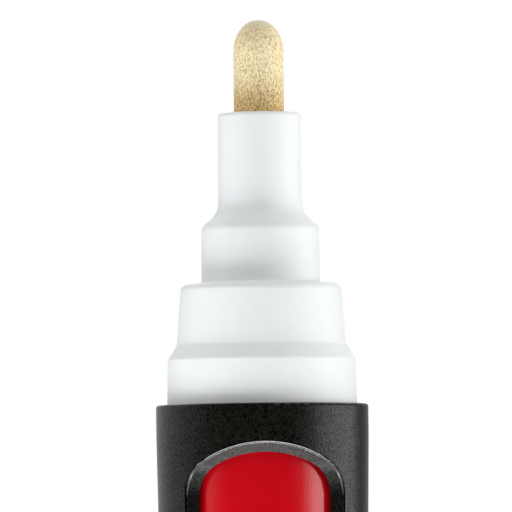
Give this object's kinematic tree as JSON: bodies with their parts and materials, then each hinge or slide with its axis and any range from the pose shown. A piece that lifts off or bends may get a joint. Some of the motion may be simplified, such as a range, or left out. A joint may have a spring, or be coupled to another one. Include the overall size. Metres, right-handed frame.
{
  "type": "paint marker",
  "caption": "Round valve-action paint marker with a bullet nib in a stepped holder, a windowed barrel sleeve over a paint can, and a clip cap posted on the rear end.",
  "frame": {"origin": "middle of the closed end of the cap, which is the face the marker stands on", "axes": "+Z along the marker's axis towards the nib, -Y towards the middle of the barrel's window"},
  "size_m": [0.016, 0.0188, 0.1636],
  "materials": {
    "black_plastic": "fine spark-eroded grain, matte",
    "red_lacquer": "glossy lacquer",
    "white_plastic": "satin, slightly translucent",
    "natural_plastic": "satin, undyed",
    "red_plastic": "smooth moulded",
    "nib_fibre": "bonded fibre with darker specks",
    "soft_seal": "matte elastomer",
    "spring_steel": "drawn stainless wire",
    "ball_steel": "polished steel"
  },
  "bodies": {
    "cap": {"cap_shell": "black_plastic", "inner_cap": "natural_plastic", "cap_color_plug": "red_plastic"},
    "barrel": {"barrel_sleeve": "black_plastic", "reservoir_can": "red_lacquer", "can_gasket": "soft_seal", "nib_holder": "white_plastic", "valve_body": "natural_plastic", "valve_seat": "soft_seal", "valve_retainer": "natural_plastic", "valve_spring": "spring_steel", "rear_plug": "red_plastic"},
    "nib_plunger": {"nib": "nib_fibre", "valve_stem": "natural_plastic"},
    "ball_one": {"mixing_ball_1": "ball_steel"},
    "ball_two": {"mixing_ball_2": "ball_steel"}
  },
  "joints": [
    {"name": "nib_press", "type": "slide", "parent": "barrel", "child": "nib_plunger", "axis": [0, 0, -1], "range_m": [0, 0.0024], "stiffness_N_per_m": 900, "springref_m": -0.0015, "deforming": ["valve_spring"]},
    {"name": "cap_pull", "type": "slide", "parent": "cap", "child": "barrel", "axis": [0, 0, 1], "range_m": [0, 0.045]},
    {"name": "ball_one_shake", "type": "slide", "parent": "barrel", "child": "ball_one", "axis": [0, 0, 1], "range_m": [0, 0.069]},
    {"name": "ball_two_shake", "type": "slide", "parent": "barrel", "child": "ball_two", "axis": [0, 0, 1], "range_m": [0, 0.069]}
  ]
}
